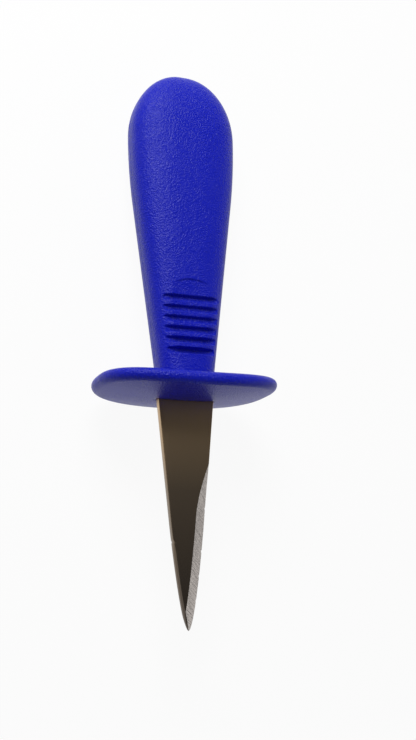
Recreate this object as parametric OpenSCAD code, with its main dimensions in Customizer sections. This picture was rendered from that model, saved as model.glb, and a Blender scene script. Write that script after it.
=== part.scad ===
// Oyster knife: a ground steel blade moulded into a polypropylene handle whose oval guard is in one piece with it.
// The sizes below are measured from the middle of the guard's blade side: "ahead" is towards the tip, "back" is
// towards the butt. The finished knife lies on the plane z = 0 on the guard's rim and the butt, thumb rest up,
// with the tip towards +X and its bevelled edge towards +Y.

/* [Blade] */
// Length of the blade from the guard to the tip
blade_len = 61.6; // [50:0.2:80]
// Width of the blade where it leaves the guard
blade_w = 16.2; // [12:0.1:20]
// Thickness of the steel
blade_t = 2; // [1.5:0.1:3]
// Length of the straight taper, before the sides curve in to the point
taper_len = 35; // [25:1:45]
// Width at the end of the straight taper
taper_end_w = 9.4; // [6:0.1:11]
// Fullness of the point: 1 is a plain triangle, less is rounder
point_power = 0.63; // [0.5:0.01:0.9]
// Width of the ground bevel on the cutting edge
bevel_w = 2.7; // [1:0.1:4]
// Steel left at the cutting edge between its two bevels
edge_t = 0.4; // [0.1:0.05:0.8]
// Distance from the guard to the start of the bevel
bevel_start = 17; // [10:1:30]
// Length over which the bevel grows to its full width
bevel_runout = 15; // [5:1:20]
// Width of the small chamfer on the other edge, near the tip
chamfer_w = 0.5; // [0.2:0.1:1]
// Distance from the guard to the start of the chamfer
chamfer_start = 37; // [30:1:45]

/* [Tang] */
// Depth of the blade's shoulders inside the guard
shoulder_depth = 2; // [1:0.1:3]
// Width of the tang
tang_w = 9; // [7:0.1:11]
// Length of the tang, from the guard's face back to its round end
tang_len = 58; // [48:1:75]
// Diameter of the tang's locking holes
lock_hole_d = 4.5; // [3:0.1:5.5]
// Distance from the tang's end to its last locking hole
lock_hole_end = 12; // [8:1:15]
// Distance between the locking holes
lock_hole_pitch = 22; // [15:1:25]
// Number of locking holes
lock_hole_count = 2; // [1:1:2]
// Shrinkage gap between the plastic and the steel
mould_gap = 0.05; // [0.05:0.05:0.2]

/* [Handle] */
// Length of the handle from the guard's face to the butt
handle_len = 98.4; // [90:0.2:120]
// Width that the neck's straight taper would have at the guard's face
neck_w = 14.2; // [13:0.1:17]
// Thickness of the neck, front to back
neck_t = 12.6; // [10:0.1:16]
// Width of the handle at the belly
belly_w = 31.4; // [24:0.2:36]
// Thickness of the handle at the belly
belly_t = 16.4; // [13:0.2:22]
// Distance from the guard's face back to the widest place
belly_at = 79; // [70:1:84]
// Distance from the guard's face back to the end of the straight taper
straight_to = 58; // [45:1:66]
// Squareness of the handle's section: 2 is an ellipse, more is boxier
grip_squareness = 2.9; // [2:0.1:4]
// Squareness of the butt seen from the front
butt_squareness = 2; // [1.8:0.1:3]
// Squareness of the butt seen from the side
butt_side_squareness = 2.6; // [1.8:0.1:3.5]

/* [Guard] */
// Width of the oval guard
guard_w = 51.2; // [40:0.2:60]
// Depth of the oval guard, front to back
guard_d = 35.6; // [26:0.2:42]
// Thickness of the guard at its rounded rim
guard_rim = 3.7; // [2.5:0.1:5]
// Distance from the guard's face back to the middle of the rim: the face domes by the rest
guard_set = 3.1; // [2.6:0.1:4.5]
// Extra distance by which the guard's two ends sweep back
guard_sweep = 1.3; // [0:0.05:2.5]
// Squareness of the guard's oval
guard_squareness = 2.8; // [2:0.1:4]
// Radius of the fillet from the guard into the neck
neck_fillet = 2.4; // [1:0.1:4]

/* [Thumb rest] */
// Length of the dished thumb rest
rest_len = 22; // [16:1:26]
// Distance from the guard's face back to the middle of the thumb rest
rest_at = 22.5; // [20:0.5:30]
// Depth of the dish
rest_depth = 0.6; // [0.3:0.1:1]
// Width of the longest groove
groove_span = 16.6; // [10:0.2:17]
// Distance from the thumb rest's end by the guard to the first groove
groove_margin = 1.6; // [1:0.1:3]
// Distance from groove to groove
groove_pitch = 2.98; // [2.5:0.01:3.5]
// Width of a groove
groove_w = 1.5; // [1:0.1:2]
// Depth of a groove below the dish
groove_depth = 1; // [0.5:0.1:1.4]
// Number of grooves
groove_count = 6; // [3:1:6]

/* [Hidden] */

blue_plastic = [0.10, 0.14, 0.62];
ground_steel = [0.62, 0.58, 0.54];
$fn = 64;
ring_points = 64;

// A superellipse point at angle t, with half-axes a across the knife and b front to back
function power(v, e) = sign(v) * pow(abs(v), e);
function oval(a, b, n, t) = [a * power(cos(t), 2 / n), b * power(sin(t), 2 / n)];

// Half-width of the handle at a distance s back: a straight taper, a parabola tangent to it, then the butt
taper_slope = (belly_w - neck_w) / 2 / (straight_to + (belly_at - straight_to) / 2);
function butt_share(s, n) = pow(1 - pow(max(0, (s - belly_at) / (handle_len - belly_at)), n), 1 / n);
function side(s) = s <= straight_to ? neck_w / 2 + taper_slope * s
    : belly_w / 2 - taper_slope / 2 / (belly_at - straight_to) * pow(max(0, belly_at - s), 2);
function half_w(s) = side(s) * butt_share(s, butt_squareness);

// Half-thickness: it grows from the neck to the belly in step with the width
function half_t(s) =
    (neck_t + (belly_t - neck_t) * (2 * side(s) - neck_w) / (belly_w - neck_w)) / 2
    * butt_share(s, butt_side_squareness);

// Half-width of the blade at a distance x ahead: a straight taper, then a full point
function blade_half(x) = x <= taper_len ? blade_w / 2 - (blade_w - taper_end_w) / 2 * x / taper_len
    : taper_end_w / 2 * pow(max(0, (blade_len - x) / (blade_len - taper_len)), point_power);

// The pose on a table: the least tilt at which the guard's rim and the handle both touch it
rest_angle = atan(min([for (s = [straight_to:0.5:handle_len - 0.5]) (guard_d / 2 - half_t(s)) / (s - guard_set)]));
rim_r = guard_rim / 2;
rest_height = (guard_d / 2 - rim_r) * cos(rest_angle) + rim_r + guard_set * sin(rest_angle);
rest_middle = (handle_len - blade_len) / 2 * cos(rest_angle);

module at_rest() {
    translate([rest_middle, 0, rest_height]) rotate([0, -rest_angle, 0]) children();
}

// Rings of a closed skin, each a list of ring_points points, joined by triangles and closed on a point at both ends
module skin(first, rings, last) {
    n = len(rings[0]);
    m = len(rings);
    points = concat([first], [for (r = rings, p = r) p], [last]);
    end = len(points) - 1;
    polyhedron(points, concat(
        [for (j = [0:n - 1]) [0, 1 + j, 1 + (j + 1) % n]],
        [for (i = [0:m - 2], j = [0:n - 1], half = [0, 1])
            let (a = 1 + i * n + j, b = 1 + i * n + (j + 1) % n)
            half == 0 ? [a, a + n, b + n] : [a, b + n, b]],
        [for (j = [0:n - 1]) [end, 1 + (m - 1) * n + (j + 1) % n, 1 + (m - 1) * n + j]]
    ), convexity = 6);
}

// One ring around the knife's axis, at a distance s back and swept back further towards the guard's ends
function ring(s, a, b, n, sweep = 0) = [for (j = [0:ring_points - 1])
    let (p = oval(a, b, n, 360 * j / ring_points))
    [-s - sweep * pow(2 * p[0] / guard_w, 2), p[0], p[1]]];

// The handle's rings from the butt to the neck
butt_steps = 12;
belly_steps = 5;
fillet_top = guard_set + rim_r + neck_fillet;
butt_rings = [for (i = [1:butt_steps])
    let (s = belly_at + (handle_len - belly_at) * cos(90 * i / butt_steps))
    ring(s, half_w(s), half_t(s), grip_squareness)];
grip_rings = [for (s = concat([for (i = [1:belly_steps]) belly_at + (straight_to - belly_at) * i / belly_steps],
    [fillet_top])) ring(s, half_w(s), half_t(s), grip_squareness)];

// The fillet from the neck down to the guard's back
fillet_steps = 4;
foot_a = half_w(fillet_top) + neck_fillet;
foot_b = half_t(fillet_top) + neck_fillet;
fillet_rings = [for (i = [1:fillet_steps])
    let (turn = 90 * i / fillet_steps, out = neck_fillet * (1 - cos(turn)))
    ring(fillet_top - neck_fillet * sin(turn), half_w(fillet_top) + out, half_t(fillet_top) + out,
        grip_squareness, guard_sweep * sin(turn))];

// The guard: its back, its round rim and its domed face
back_steps = 3;
rim_steps = 6;
face_steps = 4;
flat_a = guard_w / 2 - rim_r;
flat_b = guard_d / 2 - rim_r;
back_rings = [for (i = [1:back_steps])
    let (f = i / back_steps)
    ring(guard_set + rim_r, foot_a + (flat_a - foot_a) * f, foot_b + (flat_b - foot_b) * f,
        grip_squareness + (guard_squareness - grip_squareness) * f, guard_sweep)];
rim_rings = [for (i = [1:rim_steps])
    let (turn = 180 * i / rim_steps)
    ring(guard_set + rim_r * cos(turn), flat_a + rim_r * sin(turn), flat_b + rim_r * sin(turn),
        guard_squareness, guard_sweep)];
face_rings = [for (i = [1:face_steps - 1])
    let (f = 1 - i / face_steps)
    ring((guard_set - rim_r) * f * f, flat_a * f, flat_b * f, guard_squareness, guard_sweep)];

module handle_skin() {
    skin([-handle_len, 0, 0],
        concat(butt_rings, grip_rings, fillet_rings, back_rings, rim_rings, face_rings),
        [0, 0, 0]);
}

// A slot with round ends, len long over all and w wide, along Y in the XY plane
module slot_outline(len, w) {
    square([w, len - w], center = true);
    for (side = [-1, 1]) translate([0, side * (len / 2 - w / 2)]) circle(d = w);
}

// The thumb rest: a shallow dish, the foot of a large ball, crossed by grooves that end at the dish's edge
rest_ball_r = (pow(rest_len / 2, 2) + pow(rest_depth, 2)) / 2 / rest_depth;
function groove_len(s) = groove_span * pow(1 - pow(abs(s - rest_at) / (rest_len / 2 + groove_w), 3), 1 / 3);
module thumb_rest() {
    translate([-rest_at, 0, half_t(rest_at) - rest_depth]) intersection() {
        translate([0, 0, rest_ball_r]) sphere(r = rest_ball_r, $fn = 128);
        cylinder(d = rest_len, h = rest_depth + 3);
    }
    for (i = [0:groove_count - 1]) {
        s = rest_at - rest_len / 2 + groove_margin + i * groove_pitch;
        translate([-s, 0, half_t(s) - rest_depth - groove_depth]) linear_extrude(groove_depth + 3)
            slot_outline(groove_len(s), groove_w);
    }
}

// Outline of the blade with its shoulders, down one side to the tip and back up the other
module blade_outline() {
    point_steps = 20;
    edge = concat([[-shoulder_depth, blade_w / 2], [0, blade_w / 2], [taper_len, taper_end_w / 2]],
        [for (i = [1:point_steps])
            let (x = blade_len - (blade_len - taper_len) * pow(1 - i / point_steps, 1.6))
            [x, blade_half(x)]]);
    tip = len(edge) - 1;
    polygon(concat([for (i = [0:tip]) [edge[i][0], -edge[i][1]]], [for (i = [tip - 1:-1:0]) edge[i]]));
}

// Outline of the tang, grown by a gap all round
module tang_outline(gap) {
    translate([-tang_len + tang_w / 2, 0]) circle(d = tang_w + 2 * gap);
    translate([-tang_len + tang_w / 2, -tang_w / 2 - gap]) square([tang_len - tang_w / 2, tang_w + 2 * gap]);
}

module lock_holes(gap) {
    for (i = [0:lock_hole_count - 1])
        translate([-tang_len + lock_hole_end + i * lock_hole_pitch, 0]) circle(d = lock_hole_d - 2 * gap);
}

// The room that the steel takes in the plastic, with the plastic's plugs left standing in the holes
module tang_room() {
    linear_extrude(blade_t + 2 * mould_gap, center = true) difference() {
        union() {
            tang_outline(mould_gap);
            translate([-shoulder_depth - mould_gap, -blade_w / 2 - mould_gap])
                square([shoulder_depth + mould_gap + 1, blade_w + 2 * mould_gap]);
        }
        lock_holes(mould_gap);
    }
}

// What grinding takes off one side of the +Y edge: a wedge that follows the edge and grows to width w
module ground_off(w, depth, start, runout) {
    over = 1;
    steps = 16;
    sections = [for (i = [0:steps])
        let (
            x = start + (blade_len + over - start) * i / steps,
            grown = sin(90 * min(1, (i + 0.01) * (blade_len + over - start) / steps / runout)),
            y = blade_half(min(x, blade_len)) - w * grown,
            drop = depth * grown,
            reach = w * grown + over
        )
        [[x, y, blade_t / 2], [x, y + reach, blade_t / 2 - drop * reach / w / grown],
         [x, y + reach, blade_t / 2 + over], [x, y, blade_t / 2 + over]]];
    points = [for (s = sections, p = s) p];
    last = 4 * steps;
    polyhedron(points, concat(
        [[0, 1, 2], [0, 2, 3], [last, last + 2, last + 1], [last, last + 3, last + 2]],
        [for (i = [0:steps - 1], j = [0:3], half = [0, 1])
            let (a = 4 * i + j, b = 4 * i + (j + 1) % 4)
            half == 0 ? [a, a + 4, b + 4] : [a, b + 4, b]]
    ), convexity = 4);
}

module blade() {
    color(ground_steel) at_rest() difference() {
        linear_extrude(blade_t, center = true) difference() {
            union() {
                blade_outline();
                tang_outline(0);
            }
            lock_holes(0);
        }
        for (face = [0, 1]) mirror([0, 0, face])
            ground_off(bevel_w, (blade_t - edge_t) / 2, bevel_start, bevel_runout);
        mirror([0, 1, 0]) ground_off(chamfer_w, chamfer_w, chamfer_start, bevel_runout / 3);
    }
}

module handle() {
    color(blue_plastic) at_rest() difference() {
        handle_skin();
        tang_room();
        for (face = [0, 1]) mirror([0, 0, face]) thumb_rest();
    }
}

blade();
handle();
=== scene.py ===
import math
import bpy
import numpy as np
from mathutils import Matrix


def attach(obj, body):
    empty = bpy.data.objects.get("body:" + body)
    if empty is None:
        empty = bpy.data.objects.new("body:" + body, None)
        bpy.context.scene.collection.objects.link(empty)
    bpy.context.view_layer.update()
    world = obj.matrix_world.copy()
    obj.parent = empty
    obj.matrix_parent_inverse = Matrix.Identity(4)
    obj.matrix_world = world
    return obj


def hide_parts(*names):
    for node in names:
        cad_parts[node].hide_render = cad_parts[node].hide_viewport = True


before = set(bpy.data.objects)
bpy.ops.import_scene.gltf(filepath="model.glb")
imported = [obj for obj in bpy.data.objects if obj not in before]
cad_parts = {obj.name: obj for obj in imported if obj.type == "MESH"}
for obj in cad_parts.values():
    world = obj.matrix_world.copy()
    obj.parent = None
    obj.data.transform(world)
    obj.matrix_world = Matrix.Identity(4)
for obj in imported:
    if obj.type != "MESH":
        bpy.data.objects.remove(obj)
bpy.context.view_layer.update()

# Handle: one blue polypropylene moulding with its oval guard, moulded around the tang.
# Its grip swells to the belly and rounds off at the butt, and both broad faces have a dished thumb rest with six
# grooves. The fine grain is the mould's, and a parting line runs round the edge in the blade's plane.

# Sizes are in mm, in the knife's own frame: ahead of the guard's face towards the tip, across towards the bevelled
# edge, and up on the thumb rest's side. "Back" is a distance from the guard's face towards the butt.
HANDLE_LEN = 98.4
NECK_W, NECK_T = 14.2, 12.6
BELLY_W, BELLY_T, BELLY_AT = 31.4, 16.4, 79.0
STRAIGHT_TO = 58.0
GRIP_SQUARENESS = 2.9
BUTT_SQUARENESS, BUTT_SIDE_SQUARENESS = 2, 2.6
GUARD_W, GUARD_D, GUARD_SET, GUARD_SWEEP, GUARD_SQUARENESS = 51.2, 35.6, 3.1, 1.3, 2.8
RIM_R = 1.85
NECK_FILLET = 2.4
REST_AT, REST_LEN, REST_DEPTH = 22.5, 22.0, 0.6
GROOVE_COUNT, GROOVE_PITCH, GROOVE_MARGIN = 6, 2.98, 1.6
GROOVE_SPAN, GROOVE_W, GROOVE_DEPTH = 16.6, 1.5, 1.0
GROOVE_SOFT = 0.22
PARTING_DEPTH, PARTING_FROM = 0.07, 8.6
SLOT_A, SLOT_B, SLOT_SQUARENESS, SLOT_DEPTH = 8.32, 1.22, 12, 1.2

# The skin's rings stand closest where the grooves are, and have AROUND points each
AROUND = 288
BUTT_RINGS, BELLY_RINGS, FOOT_RINGS, BACK_RINGS, RIM_RINGS, FACE_RINGS = 34, 42, 13, 9, 21, 17
BUTT_FIRST_TURN = 0.02
BELLY_RINGS_TO = 35
CLOSE_FROM, CLOSE_TO, CLOSE_STEP = 34.8, 10.4, 0.155
NECK_RINGS_AT = [9.6, 8.6, 7.9]

# At rest the knife lies on the guard's rim and the butt, tilted tip up
REST_TILT = math.radians(6.745856)
REST_MIDDLE, REST_HEIGHT = 18.27262, 18.05372
MM = 1000


def at_rest(points):
    """Moves points of the knife's own frame, in mm, to where they lie at rest, in metres: a tilt and a shift."""
    ahead, across, up = points[..., 0], points[..., 1], points[..., 2]
    return np.stack([
        REST_MIDDLE + ahead * math.cos(REST_TILT) - up * math.sin(REST_TILT),
        across,
        REST_HEIGHT + ahead * math.sin(REST_TILT) + up * math.cos(REST_TILT),
    ], axis=-1) / MM


def skin_piece(name, node, rings, first, last, materials, strip_material=None):
    """One closed smooth skin over rings of points, drawn in to a point at both ends, in place of a CAD node.
    Ring i and ring i + 1 are joined by a strip of quads, and each end ring by a fan. The sign of the volume, the sum
    of the tetrahedra from the origin to every quad, says whether the faces have to be turned to point outward.
    """
    count, around = rings.shape[:2]
    verts = at_rest(np.concatenate([rings.reshape(-1, 3), [first], [last]]))
    row, col = np.meshgrid(np.arange(count - 1), np.arange(around), indexing="ij")
    here = row * around + col
    beside = row * around + (col + 1) % around
    quads = np.stack([here, beside, beside + around, here + around], axis=-1).reshape(-1, 4)
    point, next_point = np.arange(around), (np.arange(around) + 1) % around
    last_ring = (count - 1) * around
    fans = np.concatenate([
        np.stack([np.full(around, count * around), next_point, point], axis=-1),
        np.stack([np.full(around, count * around + 1), last_ring + point, last_ring + next_point], axis=-1),
    ])
    a, b, c, d = (verts[quads[:, k]] for k in range(4))
    volume = np.sum(np.cross(b, c) * a) + np.sum(np.cross(c, d) * a)
    if volume < 0:
        quads, fans = quads[:, ::-1], fans[:, ::-1]
    mesh = bpy.data.meshes.new(name)
    mesh.from_pydata(verts.tolist(), [], quads.tolist() + fans.tolist())
    for material in materials:
        mesh.materials.append(material)
    if strip_material is not None:
        chosen = np.concatenate([strip_material.reshape(-1), np.zeros(len(fans), dtype=int)])
        mesh.polygons.foreach_set("material_index", chosen.astype(np.int32))
    mesh.polygons.foreach_set("use_smooth", np.ones(len(mesh.polygons), dtype=bool))
    mesh.update()
    piece = bpy.data.objects.new(name, mesh)
    bpy.context.scene.collection.objects.link(piece)
    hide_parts(node)
    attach(piece, "root")


def finish_of(name, color, roughness, metallic=0.0):
    """A new material and its shader, with the plain values set on the shader's own sockets."""
    material = bpy.data.materials.new(name)
    material.use_nodes = True
    shader = material.node_tree.nodes["Principled BSDF"]
    shader.inputs["Base Color"].default_value = (*color, 1)
    shader.inputs["Roughness"].default_value = roughness
    shader.inputs["Metallic"].default_value = metallic
    return material, shader


def noise(material, size_mm, detail, turn=0.0, stretch=(1, 1, 1)):
    """Noise whose marks are about size_mm across, on the piece's own coordinates, turned and stretched if asked."""
    nodes, links = material.node_tree.nodes, material.node_tree.links
    place = nodes.new("ShaderNodeTexCoord")
    mapping = nodes.new("ShaderNodeMapping")
    mapping.vector_type = "TEXTURE"
    mapping.inputs["Rotation"].default_value = (0, 0, turn)
    mapping.inputs["Scale"].default_value = stretch
    texture = nodes.new("ShaderNodeTexNoise")
    texture.inputs["Scale"].default_value = MM / size_mm
    texture.inputs["Detail"].default_value = detail
    links.new(place.outputs["Object"], mapping.inputs["Vector"])
    links.new(mapping.outputs["Vector"], texture.inputs["Vector"])
    return texture.outputs["Fac"]


def raised(material, shader, height, depth_mm, over=None):
    """Bump of that depth in mm, laid over an earlier bump if one is given."""
    bump = material.node_tree.nodes.new("ShaderNodeBump")
    bump.inputs["Distance"].default_value = depth_mm / MM
    bump.inputs["Strength"].default_value = 1
    material.node_tree.links.new(height, bump.inputs["Height"])
    if over is not None:
        material.node_tree.links.new(over, bump.inputs["Normal"])
    material.node_tree.links.new(bump.outputs["Normal"], shader.inputs["Normal"])
    return bump.outputs["Normal"]


taper_slope = (BELLY_W - NECK_W) / 2 / (STRAIGHT_TO + (BELLY_AT - STRAIGHT_TO) / 2)


def side(back):
    """Half-width before the butt: a straight taper, then a parabola tangent to it up to the belly."""
    curve = BELLY_W / 2 - taper_slope / 2 / (BELLY_AT - STRAIGHT_TO) * np.maximum(0, BELLY_AT - back) ** 2
    return np.where(back <= STRAIGHT_TO, NECK_W / 2 + taper_slope * back, curve)


def butt_share(back, squareness):
    """How much of the section is left at the rounded butt: 1 before the belly, then a superellipse down to 0."""
    past = np.maximum(0, (back - BELLY_AT) / (HANDLE_LEN - BELLY_AT))
    return np.maximum(0, 1 - past ** squareness) ** (1 / squareness)


def half_w(back):
    """Half-width of the grip at a distance back."""
    return side(back) * butt_share(back, BUTT_SQUARENESS)


def half_t(back):
    """Half-thickness of the grip, which grows from the neck to the belly in step with the width."""
    share = (2 * side(back) - NECK_W) / (BELLY_W - NECK_W)
    return (NECK_T + (BELLY_T - NECK_T) * share) / 2 * butt_share(back, BUTT_SIDE_SQUARENESS)


def ring_run(back, half_a, half_b, squareness, sweep):
    """A row for each ring of one stretch of the handle. A single number serves the whole stretch."""
    return np.stack(np.broadcast_arrays(back, half_a, half_b, squareness, sweep), axis=-1).astype(float)


# The stretches from the butt to the guard's face, with turns in radians and shares from 0 to 1
fillet_top = GUARD_SET + RIM_R + NECK_FILLET
butt = BELLY_AT + (HANDLE_LEN - BELLY_AT) * np.cos(np.linspace(BUTT_FIRST_TURN, math.pi / 2, BUTT_RINGS))
grip = np.concatenate([
    np.linspace(BELLY_AT, BELLY_RINGS_TO, BELLY_RINGS)[1:],
    np.arange(CLOSE_FROM, CLOSE_TO, -CLOSE_STEP),
    NECK_RINGS_AT, [fillet_top],
])
foot_turn = np.linspace(0, math.pi / 2, FOOT_RINGS)[1:]
foot_out = NECK_FILLET * (1 - np.cos(foot_turn))
foot_a, foot_b = half_w(fillet_top) + NECK_FILLET, half_t(fillet_top) + NECK_FILLET
back_share = np.linspace(0, 1, BACK_RINGS)[1:]
rim_turn = np.linspace(0, math.pi, RIM_RINGS)[1:]
rim_a, rim_b = GUARD_W / 2 - RIM_R, GUARD_D / 2 - RIM_R
face_share = np.linspace(1, 0, FACE_RINGS)[1:]
face_squareness = GUARD_SQUARENESS + (SLOT_SQUARENESS - GUARD_SQUARENESS) * (1 - face_share) ** 3
ring_rows = np.concatenate([
    ring_run(butt, half_w(butt), half_t(butt), GRIP_SQUARENESS, 0),
    ring_run(grip, half_w(grip), half_t(grip), GRIP_SQUARENESS, 0),
    ring_run(fillet_top - NECK_FILLET * np.sin(foot_turn), half_w(fillet_top) + foot_out,
             half_t(fillet_top) + foot_out, GRIP_SQUARENESS, GUARD_SWEEP * np.sin(foot_turn)),
    ring_run(GUARD_SET + RIM_R, foot_a + (rim_a - foot_a) * back_share, foot_b + (rim_b - foot_b) * back_share,
             GRIP_SQUARENESS + (GUARD_SQUARENESS - GRIP_SQUARENESS) * back_share, GUARD_SWEEP),
    ring_run(GUARD_SET + RIM_R * np.cos(rim_turn), rim_a + RIM_R * np.sin(rim_turn),
             rim_b + RIM_R * np.sin(rim_turn), GUARD_SQUARENESS, GUARD_SWEEP),
    ring_run(0, SLOT_A + (rim_a - SLOT_A) * face_share, SLOT_B + (rim_b - SLOT_B) * face_share,
             face_squareness, GUARD_SWEEP),
])

# Every ring is a superellipse: a direction times the reach at which its two powers add up to 1
back, half_a, half_b, squareness, sweep = (ring_rows[:, k, None] for k in range(5))
turn = np.linspace(0, 2 * math.pi, AROUND, endpoint=False)[None, :]
reach = (np.abs(np.cos(turn)) ** squareness + np.abs(np.sin(turn)) ** squareness) ** (-1 / squareness)
across = half_a * np.cos(turn) * reach
up = half_b * np.sin(turn) * reach

# The guard's face domes forward by the square of how near a point is to the middle
in_face = np.arange(len(ring_rows))[:, None] >= len(ring_rows) - len(face_share)
out_share = (np.abs(across / rim_a) ** GUARD_SQUARENESS + np.abs(up / rim_b) ** GUARD_SQUARENESS)
out_share = out_share ** (2 / GUARD_SQUARENESS)
back = np.where(in_face, (GUARD_SET - RIM_R) * out_share, back * np.ones_like(across))

# The thumb rest is the shallow foot of a large ball, and each groove a slot with round ends and softened walls
ball_r = ((REST_LEN / 2) ** 2 + REST_DEPTH ** 2) / 2 / REST_DEPTH
on_broad_face = np.abs(np.sin(turn)) > 0.2
level = np.abs(up)
from_rest = np.hypot(back - REST_AT, across)
dish = half_t(REST_AT) - REST_DEPTH + ball_r - np.sqrt(ball_r ** 2 - np.minimum(from_rest, REST_LEN / 2) ** 2)
level = np.where(from_rest < REST_LEN / 2, np.minimum(level, dish), level)
for groove in range(GROOVE_COUNT):
    groove_at = REST_AT - REST_LEN / 2 + GROOVE_MARGIN + groove * GROOVE_PITCH
    off_middle = abs(groove_at - REST_AT) / (REST_LEN / 2 + GROOVE_W)
    straight = GROOVE_SPAN * (1 - off_middle ** 3) ** (1 / 3) / 2 - GROOVE_W / 2
    off_line = np.hypot(back - groove_at, np.maximum(np.abs(across) - straight, 0))
    inside = np.clip((GROOVE_W / 2 + GROOVE_SOFT - off_line) / (2 * GROOVE_SOFT), 0, 1)
    inside = inside * inside * (3 - 2 * inside)
    groove_floor = half_t(groove_at) - REST_DEPTH - GROOVE_DEPTH
    level = np.where(on_broad_face & (level > groove_floor), level + (groove_floor - level) * inside, level)
up = np.sign(up) * level

# The parting line is a hair's breadth below the skin, at the two edges of every ring outside the slot
off_parting = np.minimum(np.abs(np.sin(turn)) * AROUND / 2 / math.pi, 1)
across = across - np.sign(across) * PARTING_DEPTH * (1 - off_parting) * (np.abs(across) > PARTING_FROM)

# The guard's ends sweep back by the square of how far out they are, and the slot goes in a little round the blade
swept = back + sweep * (2 * across / GUARD_W) ** 2
handle_rings = np.stack([-swept, across, up], axis=-1)
slot_floor = handle_rings[-1:].copy()
slot_floor[..., 0] -= SLOT_DEPTH
handle_rings = np.concatenate([handle_rings, slot_floor])

blue_plastic, shader = finish_of("blue_plastic", (0.005, 0.011, 0.44), roughness=0.33)
shader.inputs["Specular IOR Level"].default_value = 0.18
grain = raised(blue_plastic, shader, noise(blue_plastic, size_mm=0.45, detail=1), depth_mm=0.26)
raised(blue_plastic, shader, noise(blue_plastic, size_mm=6, detail=2), depth_mm=0.12, over=grain)
skin_piece("handle_grip", "handle", handle_rings, (-HANDLE_LEN, 0, 0), (-SLOT_DEPTH, 0, 0),
           [blue_plastic])

# Blade: one strip of steel, stamped to a long point and ground to a bevel on one edge, with its tang in the handle.
# The broad faces are satin, with a painted reflection that is warm and bright near the guard and dark towards the tip,
# the bevel is bright from the grinding wheel, and the other edge has a worn corner and a small chamfer near the tip.
# The edges have a few nicks from use.
BLADE_LEN, BLADE_W, HALF_T = 61.6, 16.2, 1.0
TAPER_LEN, TAPER_END_W, POINT_POWER = 35.0, 9.4, 0.63
BEVEL_W, EDGE_T, BEVEL_START, BEVEL_RUNOUT = 2.7, 0.4, 17.0, 15.0
CHAMFER_W, CHAMFER_START, CHAMFER_RUNOUT = 0.5, 37.0, 5.0
CORNER_R, EDGE_R, BORDER_HALF = 0.28, 0.12, 0.05
SHOULDER, TANG_W, TANG_LEN = 2.0, 9.0, 58.0
NICK_HALF, NICK_LEAST = 0.3, 0.5
BEVEL_NICKS = ((29.5, 0.16), (41.0, 0.2), (47.5, 0.14), (54.0, 0.1))
BACK_NICKS = ((38.5, 0.16),)

# The blade's rings stand closest along the bevel and close up towards the tip
TANG_END_RINGS, TANG_RINGS, TIP_RINGS = 10, 8, 12
TANG_FIRST_TURN, STEP_LEN, TIP_LEN, TIP_LEAST, TIP_POWER = 0.1, 0.001, 1, 0.03, 1.6
PLAIN_STEP, BEVEL_STEP = 0.5, 0.22
CORNER_COLS, FLAT_COLS, BEVEL_COLS, EDGE_COLS = 8, 9, 8, 5

ahead = np.concatenate([
    -TANG_LEN + TANG_W / 2 * (1 - np.cos(np.linspace(TANG_FIRST_TURN, math.pi / 2, TANG_END_RINGS))),
    np.linspace(-TANG_LEN + TANG_W / 2, -SHOULDER - STEP_LEN, TANG_RINGS)[1:],
    [-SHOULDER],
    np.arange(-SHOULDER / 2, BEVEL_START - 0.2, PLAIN_STEP),
    np.arange(BEVEL_START, BLADE_LEN - TIP_LEN, BEVEL_STEP),
    BLADE_LEN - TIP_LEN * np.linspace(1, TIP_LEAST, TIP_RINGS) ** TIP_POWER,
])[:, None]


def nicks(marks):
    """How far the edge is knocked in at each ring: a bell curve for each mark's place ahead and depth."""
    return sum(deep * np.exp(-((ahead - at) / NICK_HALF) ** 2) for at, deep in marks)


def grown_from(start, runout):
    """0 before start, then a quarter of a sine wave up to 1 over the run-out."""
    return np.sin(math.pi / 2 * np.clip((ahead - start) / runout, 0, 1))


# Half-widths: the tang's round end, its straight sides, the blade's straight taper and its full point
tang_round = np.minimum(1, (ahead + TANG_LEN) / (TANG_W / 2))
tang_half = TANG_W / 2 * np.sqrt(np.maximum(0, 1 - (1 - tang_round) ** 2))
taper_half = BLADE_W / 2 - (BLADE_W - TAPER_END_W) / 2 * np.maximum(0, ahead) / TAPER_LEN
point_half = TAPER_END_W / 2 * np.maximum(0, (BLADE_LEN - ahead) / (BLADE_LEN - TAPER_LEN)) ** POINT_POWER
half = np.where(ahead < -SHOULDER, tang_half, np.where(ahead <= TAPER_LEN, taper_half, point_half))
right = np.maximum(half - nicks(BEVEL_NICKS), half * NICK_LEAST)
left = np.maximum(half - nicks(BACK_NICKS), half * NICK_LEAST)

# The worn corner or chamfer, the bevel and its edge, each held within the width that is left near the tip
bevel_grown = grown_from(BEVEL_START, BEVEL_RUNOUT)
chamfer_grown = grown_from(CHAMFER_START, CHAMFER_RUNOUT)
corner = np.minimum(CORNER_R, half / 3)
left_zone = np.minimum(np.maximum(corner, CHAMFER_W * chamfer_grown), half / 2)
right_zone = np.minimum(EDGE_R, half / 4)
border = np.clip(half - BEVEL_W * bevel_grown, -left + left_zone, right - right_zone)
near_border = np.minimum(BORDER_HALF, half / 8)

# Columns across a section, from left to right, with a tight pair at the bevel's border to keep it crisp
flat_end, bevel_from, bevel_end = border - near_border, border + near_border, right - right_zone
corner_cols = -left + left_zone * (1 - np.cos(np.linspace(0, math.pi / 2, CORNER_COLS)))[None, :]
flat_cols = -left + left_zone + (flat_end + left - left_zone) * np.linspace(0, 1, FLAT_COLS)[None, 1:]
border_cols = np.concatenate([border, bevel_from], axis=1)
bevel_cols = bevel_from + (bevel_end - bevel_from) * np.linspace(0, 1, BEVEL_COLS)[None, 1:]
edge_cols = right - right_zone * (1 - np.sin(np.linspace(0, math.pi / 2, EDGE_COLS)))[None, 1:]
cols = np.concatenate([corner_cols, flat_cols, border_cols, bevel_cols, edge_cols], axis=1)
cols = np.maximum.accumulate(cols, axis=1)


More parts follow.
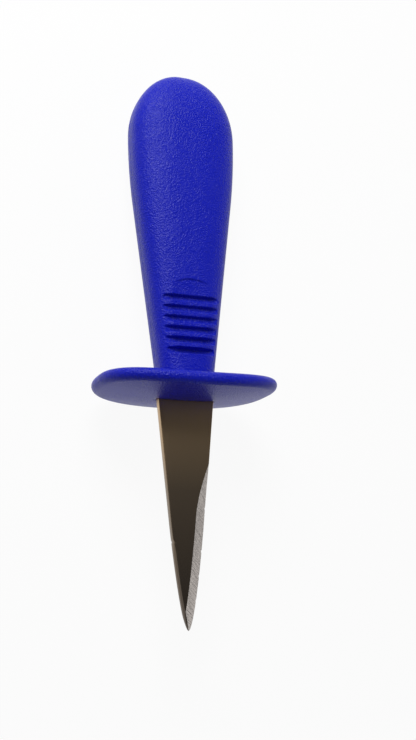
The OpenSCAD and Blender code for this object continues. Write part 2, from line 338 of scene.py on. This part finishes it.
def rounded_off(radius, from_edge):
    """How far a quarter round of that radius lies below the face, at a distance in from the edge."""
    return radius - np.sqrt(np.maximum(0, radius ** 2 - np.maximum(0, radius - from_edge) ** 2))


def face_level(chamfer):
    """Height of a broad face: flat, less the bevel's plane, the chamfer's plane, and the round of both corners."""
    slope = (HALF_T - EDGE_T / 2) / BEVEL_W
    bevel = HALF_T - slope * (cols - (half - BEVEL_W * bevel_grown))
    chamfer_plane = HALF_T - np.maximum(0, CHAMFER_W * chamfer - (cols + left))
    flat = np.minimum(np.minimum(HALF_T, np.where(ahead > BEVEL_START, bevel, HALF_T)), chamfer_plane)
    left_round = rounded_off(corner, cols + left) * (1 - chamfer)
    right_round = rounded_off(right_zone, right - cols) * (1 - bevel_grown)
    return np.maximum(flat - left_round - right_round, EDGE_T / 2)


# Each ring goes along the front from left to right and returns along the back, which has no chamfer
front = np.stack([ahead * np.ones_like(cols), cols, face_level(chamfer_grown)], axis=-1)
rear = np.stack([ahead * np.ones_like(cols), cols, -face_level(0)], axis=-1)
blade_rings = np.concatenate([front, rear[:, ::-1]], axis=1)
bevel_first = corner_cols.shape[1] + flat_cols.shape[1]
bevel_last = 2 * cols.shape[1] - bevel_first - 1
on_bevel = np.zeros((len(blade_rings) - 1, 2 * cols.shape[1]), dtype=int)
on_bevel[:, bevel_first:bevel_last] = bevel_grown[:-1] > 0.01


def graded(owner, value, low, high, stops):
    """A colour ramp over value, from low to high, with stops of (place, colour) in order."""
    nodes, links = owner.node_tree.nodes, owner.node_tree.links
    scale = nodes.new("ShaderNodeMapRange")
    scale.inputs["From Min"].default_value = low
    scale.inputs["From Max"].default_value = high
    ramp = nodes.new("ShaderNodeValToRGB")
    marks = ramp.color_ramp.elements
    marks[0].position, marks[1].position = stops[0][0], stops[-1][0]
    for place, _ in stops[1:-1]:
        marks.new(place)
    for mark, (_, color) in zip(marks, stops):
        mark.color = (*color, 1)
    links.new(value, scale.inputs["Value"])
    links.new(scale.outputs["Result"], ramp.inputs["Fac"])
    return ramp.outputs["Color"]


def one_axis(owner, output, axis):
    """One axis of a texture coordinate output."""
    nodes, links = owner.node_tree.nodes, owner.node_tree.links
    place = nodes.new("ShaderNodeTexCoord")
    split = nodes.new("ShaderNodeSeparateXYZ")
    links.new(place.outputs[output], split.inputs["Vector"])
    return split.outputs[axis]


# Painted reflection: the steel's colour runs from warm and bright at the guard to dark at the tip, in place of the
# lamp's reflection fading along the blade
GUARD_X, TIP_X = 0.018, 0.080
REFLECTION_LIT_STEEL, MID_STEEL, REFLECTION_DIM_STEEL = (0.60, 0.42, 0.24), (0.24, 0.185, 0.13), (0.12, 0.10, 0.085)
steel, shader = finish_of("brushed_steel", MID_STEEL, roughness=0.34, metallic=1)
painted_reflection = graded(steel, one_axis(steel, "Object", "X"), GUARD_X, TIP_X,
              [(0.0, REFLECTION_LIT_STEEL), (0.4, MID_STEEL), (1.0, REFLECTION_DIM_STEEL)])
steel.node_tree.links.new(painted_reflection, shader.inputs["Base Color"])
raised(steel, shader, noise(steel, size_mm=0.25, detail=2, stretch=(1, 12, 1)), depth_mm=0.004)

GRIND_TURN = math.radians(-37)
bright_steel, shader = finish_of("ground_steel", (0.44, 0.405, 0.38), roughness=0.34, metallic=1)
grind_marks = noise(bright_steel, size_mm=0.45, detail=3, turn=GRIND_TURN, stretch=(1, 14, 1))
raised(bright_steel, shader, grind_marks, depth_mm=0.1)
skin_piece("blade_steel", "blade", blade_rings, (-TANG_LEN, 0, 0), (BLADE_LEN, 0, 0),
           [steel, bright_steel], on_bevel)

# Floor: a plain white sheet under the knife, as in a catalogue picture.
# For the camera, gloss and glass it is mostly plain white, with the rest of its light kept for the knife's shadow.
FLOOR_HALF = 2.0
PLAIN_WHITE_SHARE = 0.93


def shown_rays(owner):
    """1 for the rays that show a thing by sight: the camera's, and those of gloss and glass. 0 for plain light."""
    nodes, links = owner.node_tree.nodes, owner.node_tree.links
    seen = nodes.new("ShaderNodeLightPath")
    total = seen.outputs["Is Camera Ray"]
    for kind in ("Is Glossy Ray", "Is Transmission Ray"):
        larger = nodes.new("ShaderNodeMath")
        larger.operation = "MAXIMUM"
        links.new(total, larger.inputs[0])
        links.new(seen.outputs[kind], larger.inputs[1])
        total = larger.outputs["Value"]
    return total


mesh = bpy.data.meshes.new("floor_sheet")
mesh.from_pydata([(-FLOOR_HALF, -FLOOR_HALF, 0), (FLOOR_HALF, -FLOOR_HALF, 0), (FLOOR_HALF, FLOOR_HALF, 0),
                  (-FLOOR_HALF, FLOOR_HALF, 0)], [], [(0, 1, 2, 3)])
floor_sheet = bpy.data.objects.new("floor_sheet", mesh)
bpy.context.scene.collection.objects.link(floor_sheet)
white_sheet, shader = finish_of("white_sheet", (0.86, 0.86, 0.86), roughness=0.8)
mesh.materials.append(white_sheet)
nodes, links = white_sheet.node_tree.nodes, white_sheet.node_tree.links
glow = nodes.new("ShaderNodeEmission")
glow.inputs["Color"].default_value = (1, 1, 1, 1)
glow.inputs["Strength"].default_value = 1
share = nodes.new("ShaderNodeMath")
share.operation = "MULTIPLY"
share.inputs[1].default_value = PLAIN_WHITE_SHARE
mix = nodes.new("ShaderNodeMixShader")
links.new(shown_rays(white_sheet), share.inputs[0])
links.new(share.outputs["Value"], mix.inputs["Fac"])
links.new(shader.outputs["BSDF"], mix.inputs[1])
links.new(glow.outputs["Emission"], mix.inputs[2])
links.new(mix.outputs["Shader"], nodes["Material Output"].inputs["Surface"])

# Light: a large soft lamp over the butt and the left side, and a weak one on the right.
# The backdrop that the camera and the steel see is white all round and dim overhead, so the blade shows dark.
ROOM_LIGHT = 0.16
WHITE_WALL, DIM_WALL, DARK_TOP = (1, 1, 1), (0.2, 0.2, 0.2), (0.05, 0.05, 0.05)


def soft_lamp(name, stands_at, aims_at, size, power):
    """A square area lamp that is turned to its aim, with places and size in metres and power in watts.
    It leans from straight down by the angle whose tangent is the level run over the drop, towards its aim.
    """
    lamp = bpy.data.lights.new(name, "AREA")
    lamp.size = size
    lamp.energy = power
    stand = bpy.data.objects.new(name, lamp)
    stand.location = stands_at
    aim = np.array(aims_at) - np.array(stands_at)
    lean = math.atan2(math.hypot(aim[0], aim[1]), -aim[2])
    stand.rotation_euler = (lean, 0, math.atan2(-aim[0], aim[1]))
    bpy.context.scene.collection.objects.link(stand)


soft_lamp("key_lamp", (-0.30, -0.12, 0.30), (-0.04, 0, 0.02), size=0.22, power=1.7)
soft_lamp("side_lamp", (0.15, 0.75, 0.35), (0, 0, 0.02), size=0.5, power=0.8)
world = bpy.data.worlds.new("studio")
bpy.context.scene.world = world
world.use_nodes = True
nodes, links = world.node_tree.nodes, world.node_tree.links
room = nodes["Background"]
room.inputs["Color"].default_value = (1, 1, 1, 1)
room.inputs["Strength"].default_value = ROOM_LIGHT
backdrop = nodes.new("ShaderNodeBackground")
links.new(graded(world, one_axis(world, "Generated", "Z"), 0, 1,
                 [(0.15, WHITE_WALL), (0.6, DIM_WALL), (1.0, DARK_TOP)]), backdrop.inputs["Color"])
mix = nodes.new("ShaderNodeMixShader")
links.new(shown_rays(world), mix.inputs["Fac"])
links.new(room.outputs["Background"], mix.inputs[1])
links.new(backdrop.outputs["Background"], mix.inputs[2])
links.new(mix.outputs["Shader"], nodes["World Output"].inputs["Surface"])

# Camera: almost straight above, a little towards the tip and the left, as the photograph is taken.
# The place, turn and lens come from a fit of the knife's outline in an image of 416 by 740.
CAMERA_AT = (0.044273, -0.093351, 0.278546)
CAMERA_TURN = (6.7358, -21.1539, 91.3208)
LENS, SENSOR = 48.65, 36
camera = bpy.data.cameras.new("camera")
camera.lens = LENS
camera.sensor_width = SENSOR
camera.clip_start = 0.01
holder = bpy.data.objects.new("camera", camera)
holder.location = CAMERA_AT
holder.rotation_euler = tuple(math.radians(angle) for angle in CAMERA_TURN)
bpy.context.scene.collection.objects.link(holder)
bpy.context.scene.camera = holder
bpy.context.scene.view_settings.view_transform = "Standard"
